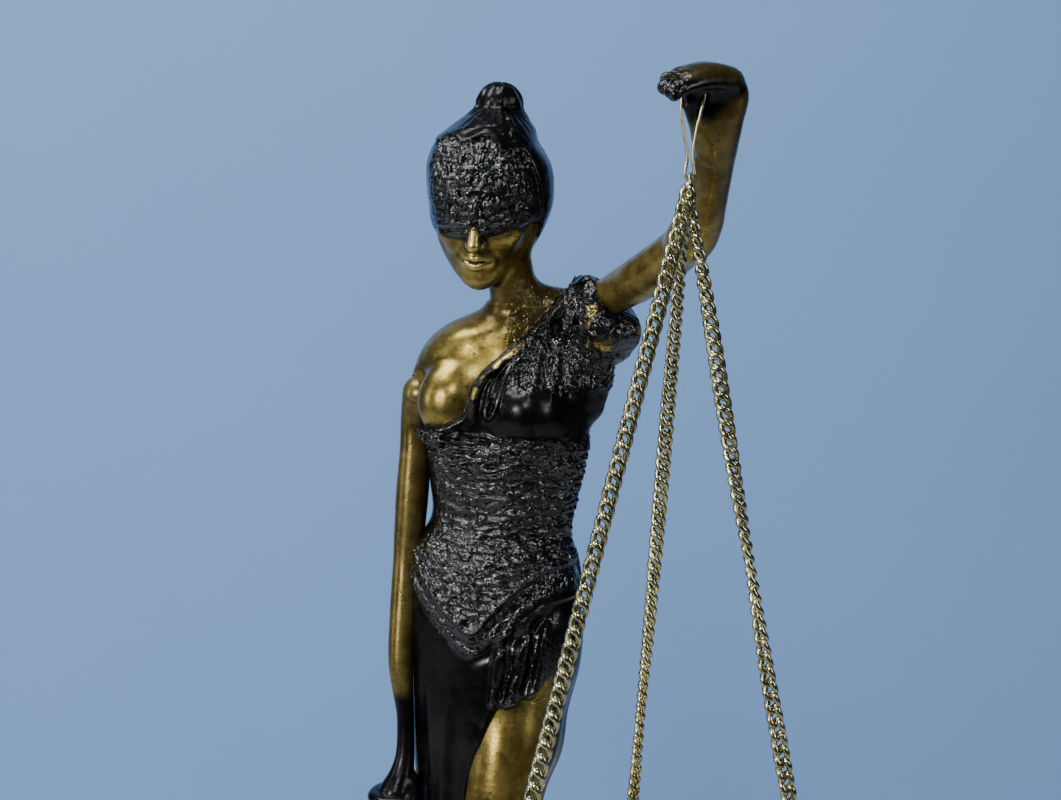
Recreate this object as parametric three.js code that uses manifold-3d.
// A cast bronze figure of Justice on a marble block. Her raised hand holds a wire loop, and a
// weighing pan hangs from it on three chains. Her lowered hand rests on the pommel of a sword.
// Millimetres, +Z up, front towards -Y. The origin is the middle of the underside of the felt pad.

import * as THREE from 'three';
import { mergeVertices } from 'three/addons/utils/BufferGeometryUtils.js';
import Module from 'manifold-3d';

const wasm = await Module();
wasm.setup();

// ---------------------------------------------------------------- driving dimensions

const GAP = 0.3;                 // left between pieces that touch

const FELT_SIDE = 102;
const FELT_THICKNESS = 1.5;

const BASE_SIDE = 110;
const BASE_TOP = 25;
const BASE_CHAMFER = 1.5;
const FOOTING_TOP = 33;
const FOOTING_RADIUS = 43;
const SOLE = FOOTING_TOP + GAP;  // height at which the figure starts

const STUD_RADIUS = 2.7;
const NUT_RADIUS = 4.9;          // across corners
const NUT_HEIGHT = 4;
const WASHER_RADIUS = 8;
const WASHER_THICKNESS = 1.2;
const RECESS_RADIUS = 10;
const RECESS_TOP = 11;

const BODY_TURN = THREE.MathUtils.degToRad(-20);  // the trunk turns towards her right hand
const WALL = 3.5;                // bronze wall of the hollow skirt

const HOOK = new THREE.Vector3(50.5, -90, 396.2); // middle of the loop's top bar, the swing axis
const LOOP_HALF_WIDTH = 2.8;
const LOOP_WIRE = 0.6;
const EYE_RADIUS = 1.9;          // small eye at the loop's lower end
const EYE_BOTTOM = 373.1;
const GATHER_RADIUS = 2.4;
const GATHER_WIRE = 0.5;
const GATHER_Z = EYE_BOTTOM - 1.0;

const CHAIN_SLOPE = 0.245;       // run outwards for each unit of fall
const CHAIN_RADIUS = 2;
const CHAIN_NECK_OUT = 2.9;      // the strands are full size from here outwards
const CHAIN_TOP_OUT = 1.1;       // and start this far from the middle line
const CHAIN_TOP_RADIUS = 0.7;
const CHAINS = [
  ['side', -26],
  ['front', -146],
  ['rear', 94],
];                               // name and compass angle from +X, in degrees

const PAN_RIM_Z = 168;
const PAN_DEPTH = 14;
const PAN_SHEET = 1.2;
const RIM_RING_RADIUS = 3.2;
const RIM_RING_WIRE = 0.5;
const RIM_RING_Z = PAN_RIM_Z + 1.6;
const RIM_RING_OUT = CHAIN_SLOPE * (GATHER_Z - RIM_RING_Z - RIM_RING_RADIUS);
const PAN_RADIUS = RIM_RING_OUT + 1;
const RIM_HOLE_OUT = RIM_RING_OUT - 2.7;
const RIM_HOLE_RADIUS = 1.5;

const POMMEL = new THREE.Vector3(-23.5, -9, 170);
const POMMEL_RADIUS = 4.2;
const GRIP_RADIUS = 2.6;
const GUARD_Z = 140;
const GUARD_SPAN = 30;
const BLADE_WIDTH = 7;
const BLADE_THICKNESS = 2;

// ---------------------------------------------------------------- shape helpers

const UP = new THREE.Vector3(0, 1, 0);

// A closed geometry as a solid that can be joined and cut.
function solid(geometry) {
  const bare = geometry.clone();
  bare.deleteAttribute('normal');
  bare.deleteAttribute('uv');
  const merged = mergeVertices(bare, 1e-4);
  const corners = merged.index.array;
  const kept = [];
  for (let i = 0; i < corners.length; i += 3) {
    const [a, b, c] = [corners[i], corners[i + 1], corners[i + 2]];
    if (a !== b && b !== c && c !== a) kept.push(a, b, c);
  }
  return new wasm.Manifold(new wasm.Mesh({
    numProp: 3,
    vertProperties: new Float32Array(merged.attributes.position.array),
    triVerts: new Uint32Array(kept),
  }));
}

// The solid's surface, as a geometry.
function geometryOf(body) {
  const mesh = body.getMesh();
  const geometry = new THREE.BufferGeometry();
  geometry.setAttribute('position', new THREE.BufferAttribute(mesh.vertProperties, 3));
  geometry.setIndex(new THREE.BufferAttribute(mesh.triVerts, 1));
  geometry.computeVertexNormals();
  return geometry;
}

// A closed body through stacked ellipses [z, x, y, half width, half depth], all turned alike.
function loft(rings, sides, turn = 0, inset = 0) {
  const geometry = new THREE.CylinderGeometry(1, 1, 1, sides, rings.length - 1);
  geometry.rotateX(Math.PI / 2);
  const place = geometry.attributes.position;
  for (let i = 0; i < place.count; i += 1) {
    const [z, x, y, width, depth] = rings[Math.round((place.getZ(i) + 0.5) * (rings.length - 1))];
    const across = place.getX(i) * (width - inset);
    const deep = place.getY(i) * (depth - inset);
    const east = across * Math.cos(turn) - deep * Math.sin(turn);
    const north = across * Math.sin(turn) + deep * Math.cos(turn);
    place.setXYZ(i, x + east, y + north, z);
  }
  return solid(geometry);
}

function ellipsoid([x, y, z], [a, b, c], turn = 0, lean = 0, sides = 12) {
  const geometry = new THREE.SphereGeometry(1, sides, Math.round(sides * 0.6));
  geometry.scale(a, b, c).rotateX(lean).rotateZ(turn).translate(x, y, z);
  return solid(geometry);
}

// A straight round bar between two points, with its own radius at each end.
function bar(from, to, radiusFrom, radiusTo, sides) {
  const along = new THREE.Vector3().subVectors(to, from);
  const geometry = new THREE.CylinderGeometry(radiusTo, radiusFrom, along.length(), sides);
  geometry.applyQuaternion(new THREE.Quaternion().setFromUnitVectors(UP, along.clone().normalize()));
  const middle = new THREE.Vector3().addVectors(from, to).multiplyScalar(0.5);
  geometry.translate(middle.x, middle.y, middle.z);
  return solid(geometry);
}

// An upright cylinder between two heights.
function post(x, y, low, high, radius, sides = 16) {
  return bar(new THREE.Vector3(x, y, low), new THREE.Vector3(x, y, high), radius, radius, sides);
}

function block([x0, y0, z0], [x1, y1, z1]) {
  const geometry = new THREE.BoxGeometry(x1 - x0, y1 - y0, z1 - z0);
  geometry.translate((x0 + x1) / 2, (y0 + y1) / 2, (z0 + z1) / 2);
  return solid(geometry);
}

// A round limb through stations [x, y, z, radius], with domed ends.
function limb(stations, grow = 0, sides = 12) {
  const centres = stations.map(([x, y, z]) => new THREE.Vector3(x, y, z));
  const radii = stations.map(([, , , radius]) => radius + grow);
  const last = centres.length - 1;
  const tangents = centres.map((centre, i) => new THREE.Vector3()
    .subVectors(centres[Math.min(i + 1, last)], centres[Math.max(i - 1, 0)]).normalize());
  const rings = centres.map((centre, i) => ({ centre, radius: radii[i], tangent: tangents[i] }));
  for (const [end, way] of [[0, -1], [last, 1]]) {
    for (const [out, share] of [[0.6, 0.8], [0.95, 0.31]]) {
      const centre = centres[end].clone().addScaledVector(tangents[end], way * out * radii[end]);
      const dome = { centre, radius: radii[end] * share, tangent: tangents[end] };
      if (way > 0) rings.push(dome);
      else rings.unshift(dome);
    }
  }
  const run = new THREE.Vector3().subVectors(centres[last], centres[0]).normalize();
  const steady = Math.abs(run.x) > 0.8 ? new THREE.Vector3(0, 0, 1) : new THREE.Vector3(1, 0, 0);
  const geometry = new THREE.CylinderGeometry(1, 1, 1, sides, rings.length - 1);
  const place = geometry.attributes.position;
  for (let i = 0; i < place.count; i += 1) {
    const { centre, radius, tangent } = rings[Math.round((place.getY(i) + 0.5) * (rings.length - 1))];
    const across = steady.clone().addScaledVector(tangent, -steady.dot(tangent)).normalize();
    const aside = new THREE.Vector3().crossVectors(across, tangent);
    const at = centre.clone().addScaledVector(across, radius * place.getX(i));
    at.addScaledVector(aside, radius * place.getZ(i));
    place.setXYZ(i, at.x, at.y, at.z);
  }
  return solid(geometry);
}

// A round wire bent into a closed curve that runs anticlockwise about the normal.
function closedWire(curve, normal, radius, steps, sides = 6) {
  const geometry = new THREE.TorusGeometry(1, 0.1, sides, steps);
  const place = geometry.attributes.position;
  for (let i = 0; i < place.count; i += 1) {
    const step = (i % (steps + 1)) % steps;
    const angle = (Math.floor(i / (steps + 1)) / sides) * 2 * Math.PI;
    const outward = curve.getTangentAt(step / steps).cross(normal).normalize();
    const at = curve.getPointAt(step / steps);
    at.addScaledVector(outward, radius * Math.cos(angle));
    at.addScaledVector(normal, radius * Math.sin(angle));
    place.setXYZ(i, at.x, at.y, at.z);
  }
  return solid(geometry);
}

// ---------------------------------------------------------------- finishes

function finish(color, roughness, metalness) {
  return () => new THREE.MeshStandardMaterial({ color, roughness, metalness });
}

const wornBrass = finish(0x9a7a35, 0.35, 1);
const darkBronze = finish(0x1d1814, 0.35, 0.9);
const chainBrass = finish(0xa89f6c, 0.4, 1);
const panBrass = finish(0xb8933f, 0.35, 1);
const steel = finish(0x8d9094, 0.4, 1);
const blackMarble = finish(0x15161a, 0.2, 0);
const greenFelt = finish(0x1f3a2b, 0.95, 0);

const statue = new THREE.Group();

function addPiece(name, body, material) {
  const mesh = new THREE.Mesh(geometryOf(body), material());
  mesh.name = name;
  statue.add(mesh);
}

// ---------------------------------------------------------------- base

function feltPad() {
  const half = FELT_SIDE / 2;
  return block([-half, -half, 0], [half, half, FELT_THICKNESS]);
}

function marbleBase() {
  const half = BASE_SIDE / 2 - BASE_CHAMFER;
  const outline = new THREE.Shape();
  outline.moveTo(-half, -half);
  outline.lineTo(half, -half);
  outline.lineTo(half, half);
  outline.lineTo(-half, half);
  outline.closePath();
  const low = FELT_THICKNESS + GAP;
  const geometry = new THREE.ExtrudeGeometry(outline, {
    depth: BASE_TOP - low - 2 * BASE_CHAMFER,
    bevelThickness: BASE_CHAMFER,
    bevelSize: BASE_CHAMFER,
    bevelSegments: 1,
  });
  geometry.translate(0, 0, low + BASE_CHAMFER);
  const bore = post(0, 0, 0, BASE_TOP + 1, STUD_RADIUS + 0.5);
  const recess = post(0, 0, 0, RECESS_TOP, RECESS_RADIUS);
  return solid(geometry).subtract(bore).subtract(recess);
}

function baseStud() {
  return post(0, 0, 3.5, FOOTING_TOP - 2.5, STUD_RADIUS);
}

function baseWasher() {
  const top = RECESS_TOP - GAP;
  const disc = post(0, 0, top - WASHER_THICKNESS, top, WASHER_RADIUS);
  return disc.subtract(post(0, 0, 0, RECESS_TOP, STUD_RADIUS + GAP));
}

function baseNut() {
  const top = RECESS_TOP - WASHER_THICKNESS - 2 * GAP;
  const hexagon = post(0, 0, top - NUT_HEIGHT, top, NUT_RADIUS, 6);
  return hexagon.subtract(post(0, 0, 0, RECESS_TOP, STUD_RADIUS + GAP));
}

// The rocky ground she stands on: a low slab with an uneven outline.
function groundPlate() {
  const low = BASE_TOP + GAP;
  const rings = [
    [low, 0, 0, FOOTING_RADIUS, FOOTING_RADIUS],
    [low + 3, 0, 0, FOOTING_RADIUS + 1, FOOTING_RADIUS + 1],
    [FOOTING_TOP - 1.5, 0, 0, FOOTING_RADIUS - 1.5, FOOTING_RADIUS - 1.5],
    [FOOTING_TOP, 0, 0, FOOTING_RADIUS - 4, FOOTING_RADIUS - 4],
  ];
  const geometry = geometryOf(loft(rings, 24));
  const place = geometry.attributes.position;
  for (let i = 0; i < place.count; i += 1) {
    const angle = Math.atan2(place.getY(i), place.getX(i));
    const swell = 1 + 0.04 * Math.sin(3 * angle + 0.6) + 0.025 * Math.cos(7 * angle);
    place.setXY(i, place.getX(i) * swell, place.getY(i) * swell);
  }
  return solid(geometry).subtract(post(0, 0, 0, FOOTING_TOP - 2, STUD_RADIUS + GAP));
}

// ---------------------------------------------------------------- figure

// Skirt and trunk from the hem to the root of the neck: [z, x, y, half width, half depth].
const TRUNK = [
  [SOLE, 1.5, 5, 24.5, 23],
  [60, 1, 4, 22, 20.5],
  [90, 0.5, 2, 19.5, 18.5],
  [125, 0, 1, 18.5, 18],
  [155, 1, 1, 18.5, 18],
  [178, 2, 1, 19.5, 18.5],
  [193, 3.5, 1, 22.5, 19.5],
  [207, 4, 1, 24.5, 20],
  [220, 5, 1, 26.7, 20.5],
  [232, 5, 1, 27.3, 20.5],
  [245, 4, 1, 26.2, 19],
  [256, 4.3, 1, 22.2, 16.5],
  [263, 5.2, 1, 20.4, 15],
  [272, 5.2, 0.5, 21.5, 15.5],
  [285, 5, 0, 24, 16.5],
  [297, 4.5, 0, 26, 16.5],
  [308, 6, 1, 27.5, 14.5],
  [316, 8.5, 1, 25, 12],
  [322, 10, 1, 17, 9.5],
  [325, 8, 1, 9, 7.5],
];
const CORE_LOW = 10;             // the core pokes out below the hem, so the skirt is open there
const CORE_RINGS = 8;

const LEFT_LEG = [
  [11, -7, 215, 11.5],
  [11, -12, 190, 11.5],
  [9, -20, 128, 9],
  [9, -16, 104, 9],
  [8, -13, 60, 5],
  [8, -14, 44, 5],
];
const NECK = [
  [9, 0, 316, 9],
  [5, -2, 326, 7.2],
  [0.5, -5, 340, 7.2],
];
const SLEEVE = [
  [26, -8, 322, 10],
  [35, -12, 331, 9.5],
  [34.5, -11, 320, 8.5],
];

const RAISED_ARM = [
  [32, -10, 332.3, 6.4],
  [43.2, -27, 341.8, 6.7],
  [51, -40, 350, 6.5],
  [56.2, -51, 357.5, 6.2],
  [57.4, -62, 368, 5.7],
  [58.6, -73, 380.5, 5.4],
  [59, -81, 390, 5.6],
];
const LOWERED_ARM = [
  [-20, 7, 300, 6.2],
  [-22, 6.5, 285, 5],
  [-22.5, 5, 267, 5.1],
  [-23, 3, 249, 4.5],
  [-23.2, 0, 232, 4.4],
  [-23, -3, 217, 3.9],
  [-20.8, -5, 203, 3],
  [-20.5, -6.5, 188, 3.6],
  [-22.5, -8, 179, 5],
];

function figureBody() {
  const shell = loft(TRUNK, 20, BODY_TURN);
  const inner = TRUNK.slice(0, CORE_RINGS).map((ring) => [...ring]);
  inner[0][0] = CORE_LOW;
  let body = shell.subtract(loft(inner, 12, BODY_TURN, WALL));
  body = body.add(limb(LEFT_LEG));
  body = body.add(ellipsoid([7, -24, SOLE + 4], [5.5, 13, 5]));
  body = body.add(ellipsoid([-14, -18, SOLE + 3.5], [5, 11, 4.5], -0.3));
  body = body.subtract(block([-60, -60, 0], [60, 60, SOLE]));
  body = body.add(ellipsoid([-11, -8.5, 299], [8.5, 8.5, 8], BODY_TURN));
  body = body.add(ellipsoid([9.5, -15, 302], [8.5, 8.5, 8], BODY_TURN));
  body = body.add(limb(NECK));
  body = body.add(limb(SLEEVE));
  body = body.add(ellipsoid([-4, -7, 360], [19, 20.5, 25], 0.1, 0.2, 16));
  body = body.add(ellipsoid([-3.5, 0, 379], [13.5, 14, 8.5]));
  body = body.add(ellipsoid([-2, 5, 387.5], [7.4, 7.4, 6.5]));
  const arms = limb(RAISED_ARM.slice(0, 3), GAP).add(limb(LOWERED_ARM, GAP));
  return body.subtract(arms);
}

// The raised hand closes over the top bar of the wire loop. The bar turns in a round tunnel, and
// each leg of the loop has its own slot below it, wide enough for the swing.
function raisedArm() {
  let hand = limb(RAISED_ARM);
  hand = hand.add(ellipsoid([57.5, -87, 395.4], [6.2, 9.5, 6.6]));
  for (let finger = 0; finger < 4; finger += 1) {
    hand = hand.add(limb([
      [58, -82.5 - 3.7 * finger, 399.6 - 1.2 * finger, 2.8],
      [51.5, -85.5 - 3.9 * finger, 401.3 - 1.2 * finger, 2.6],
      [44, -89.5 - 3.8 * finger, 397.6 - 0.8 * finger, 2.4],
    ], 0, 8));
  }
  const thumb = [
    [57, -94, 392.5, 3],
    [50, -91, 392.8, 2.6],
  ];
  hand = hand.add(limb(thumb, 0, 8));
  const reach = LOOP_HALF_WIDTH + 1.1;
  const tunnelFrom = HOOK.clone().setX(HOOK.x - reach);
  const tunnelTo = HOOK.clone().setX(HOOK.x + reach);
  hand = hand.subtract(bar(tunnelFrom, tunnelTo, 1.1, 1.1, 8));
  for (const side of [-1, 1]) {
    hand = hand.subtract(legSlot(HOOK.x + side * LOOP_HALF_WIDTH));
  }
  return hand;
}

// A slot that opens downwards from the swing axis, from 24 degrees forward to 8 degrees back.
function legSlot(x) {
  const drop = 14;
  const wedge = new THREE.Shape();
  wedge.moveTo(HOOK.y - 1.1, HOOK.z);
  wedge.lineTo(HOOK.y - 1.1 - drop * Math.tan(THREE.MathUtils.degToRad(24)), HOOK.z - drop);
  wedge.lineTo(HOOK.y + 1.1 + drop * Math.tan(THREE.MathUtils.degToRad(8)), HOOK.z - drop);
  wedge.lineTo(HOOK.y + 1.1, HOOK.z);
  wedge.closePath();
  const geometry = new THREE.ExtrudeGeometry(wedge, { depth: 2.2, bevelEnabled: false });
  // The outline is drawn in Y and Z, so its plane is stood up facing along X.
  geometry.applyMatrix4(new THREE.Matrix4().set(
    0, 0, 1, x - 1.1,
    1, 0, 0, 0,
    0, 1, 0, 0,
    0, 0, 0, 1,
  ));
  return solid(geometry);
}

// The lowered hand is cupped over the pommel, open below where the grip comes out.
function loweredArm() {
  const fist = ellipsoid([POMMEL.x, POMMEL.y + 0.5, POMMEL.z + 2], [6.6, 8, 11]);
  const socket = ellipsoid([POMMEL.x, POMMEL.y, POMMEL.z], Array(3).fill(POMMEL_RADIUS + GAP));
  const throat = post(POMMEL.x, POMMEL.y, POMMEL.z - 20, POMMEL.z, GRIP_RADIUS + GAP);
  const mouth = post(POMMEL.x, POMMEL.y, POMMEL.z - 20, POMMEL.z - 6, POMMEL_RADIUS + GAP);
  return limb(LOWERED_ARM).add(fist).subtract(socket).subtract(throat).subtract(mouth);
}

// ---------------------------------------------------------------- sword

function swordHilt() {
  const { x, y, z } = POMMEL;
  const pommel = ellipsoid([x, y, z], Array(3).fill(POMMEL_RADIUS - 0.1));
  const grip = bar(POMMEL, new THREE.Vector3(x, y, GUARD_Z), GRIP_RADIUS - 0.1, GRIP_RADIUS - 0.5, 12);
  const half = GUARD_SPAN / 2;
  const guard = limb([
    [x - half, y, GUARD_Z - 1, 2.4],
    [x, y, GUARD_Z, 3],
    [x + half * 0.3, y, GUARD_Z, 2.4],
  ], 0, 8);
  const slot = block(
    [x - BLADE_WIDTH / 2 - GAP, y - BLADE_THICKNESS / 2 - GAP, GUARD_Z - 5],
    [x + BLADE_WIDTH / 2 + GAP, y + BLADE_THICKNESS / 2 + GAP, GUARD_Z],
  );
  return pommel.add(grip).add(guard).subtract(slot);
}

// A flat blade of diamond section that tapers to its tip on the ground.
function swordBlade() {
  const top = GUARD_Z - GAP;
  const shoulder = SOLE + 12;
  const half = BLADE_WIDTH / 2;
  const rings = [
    [SOLE, POMMEL.x, POMMEL.y, 0.8, 0.5],
    [shoulder, POMMEL.x, POMMEL.y, half * 0.8, BLADE_THICKNESS / 2],
    [top, POMMEL.x, POMMEL.y, half, BLADE_THICKNESS / 2],
  ];
  return loft(rings, 4);
}

// ---------------------------------------------------------------- loop, chains and pan

function wireLoop() {
  const { x, y, z } = HOOK;
  const outline = [
    [LOOP_HALF_WIDTH - 1, z],
    [-LOOP_HALF_WIDTH + 1, z],
    [-LOOP_HALF_WIDTH, z - 1],
    [-LOOP_HALF_WIDTH + 0.3, z - 6],
    [-1, z - 17],
    [-EYE_RADIUS, EYE_BOTTOM + EYE_RADIUS],
    [0, EYE_BOTTOM],
    [EYE_RADIUS, EYE_BOTTOM + EYE_RADIUS],
    [1, z - 17],
    [LOOP_HALF_WIDTH - 0.3, z - 6],
    [LOOP_HALF_WIDTH, z - 1],
  ];
  const points = outline.map(([across, height]) => new THREE.Vector3(x + across, y, height));
  const curve = new THREE.CatmullRomCurve3(points, true, 'centripetal');
  return closedWire(curve, new THREE.Vector3(0, -1, 0), LOOP_WIRE, 44);
}

function gatherRing() {
  const geometry = new THREE.TorusGeometry(GATHER_RADIUS, GATHER_WIRE, 6, 16);
  geometry.rotateY(Math.PI / 2).translate(HOOK.x, HOOK.y, GATHER_Z);
  return solid(geometry);
}

// The point at a distance out from the middle line, in a chain's compass direction.
function outAt(degrees, out, z) {
  const angle = THREE.MathUtils.degToRad(degrees);
  return new THREE.Vector3(HOOK.x + out * Math.cos(angle), HOOK.y + out * Math.sin(angle), z);
}

// A strand's outer shape: a round bar that narrows near the gathering ring.
function chainStrand(degrees) {
  const low = RIM_RING_Z + RIM_RING_RADIUS + RIM_RING_WIRE + GAP + CHAIN_RADIUS * CHAIN_SLOPE;
  const foot = outAt(degrees, CHAIN_SLOPE * (GATHER_Z - low), low);
  const neck = outAt(degrees, CHAIN_NECK_OUT, GATHER_Z - CHAIN_NECK_OUT / CHAIN_SLOPE);
  const top = outAt(degrees, CHAIN_TOP_OUT, GATHER_Z - CHAIN_TOP_OUT / CHAIN_SLOPE);
  const strand = bar(foot, neck, CHAIN_RADIUS, CHAIN_RADIUS, 8);
  return strand.add(bar(neck, top, CHAIN_RADIUS, CHAIN_TOP_RADIUS, 8));
}

function rimRing(degrees) {
  const middle = outAt(degrees, RIM_RING_OUT, RIM_RING_Z);
  const geometry = new THREE.TorusGeometry(RIM_RING_RADIUS, RIM_RING_WIRE, 6, 16);
  geometry.rotateX(Math.PI / 2).rotateZ(THREE.MathUtils.degToRad(degrees));
  geometry.translate(middle.x, middle.y, middle.z);
  return solid(geometry);
}

// A shallow dish with a flat lip. The inside falls from the lip in a smooth bowl.
function weighingPan() {
  const lip = RIM_HOLE_OUT - 3.6;
  const steps = 5;
  const profile = [];
  for (let i = 0; i <= steps; i += 1) {
    const out = (lip * i) / steps;
    profile.push(new THREE.Vector2(out, -PAN_DEPTH * (1 - (out / lip) ** 2.6) - PAN_SHEET));
  }
  profile.push(new THREE.Vector2(PAN_RADIUS, -PAN_SHEET / 2));
  profile.push(new THREE.Vector2(PAN_RADIUS, PAN_SHEET / 2));
  for (let i = steps; i >= 0; i -= 1) {
    const out = (lip * i) / steps;
    profile.push(new THREE.Vector2(out, -PAN_DEPTH * (1 - (out / lip) ** 2.6)));
  }
  const geometry = new THREE.LatheGeometry(profile, 36);
  geometry.rotateX(Math.PI / 2).translate(HOOK.x, HOOK.y, PAN_RIM_Z);
  let pan = solid(geometry);
  for (const [, degrees] of CHAINS) {
    const hole = outAt(degrees, RIM_HOLE_OUT, 0);
    pan = pan.subtract(post(hole.x, hole.y, PAN_RIM_Z - 5, PAN_RIM_Z + 5, RIM_HOLE_RADIUS, 10));
  }
  return pan;
}

// ---------------------------------------------------------------- assembly

addPiece('felt_pad', feltPad(), greenFelt);
addPiece('marble_base', marbleBase(), blackMarble);
addPiece('base_stud', baseStud(), steel);
addPiece('base_washer', baseWasher(), steel);
addPiece('base_nut', baseNut(), steel);
addPiece('ground_plate', groundPlate(), darkBronze);
addPiece('figure_body', figureBody(), darkBronze);
addPiece('raised_arm', raisedArm(), wornBrass);
addPiece('lowered_arm', loweredArm(), wornBrass);
addPiece('sword_hilt', swordHilt(), wornBrass);
addPiece('sword_blade', swordBlade(), wornBrass);
addPiece('wire_loop', wireLoop(), chainBrass);
addPiece('gather_ring', gatherRing(), chainBrass);
for (const [name, degrees] of CHAINS) {
  addPiece(`chain_${name}`, chainStrand(degrees), chainBrass);
  addPiece(`rim_ring_${name}`, rimRing(degrees), chainBrass);
}
addPiece('weighing_pan', weighingPan(), panBrass);

export default statue;
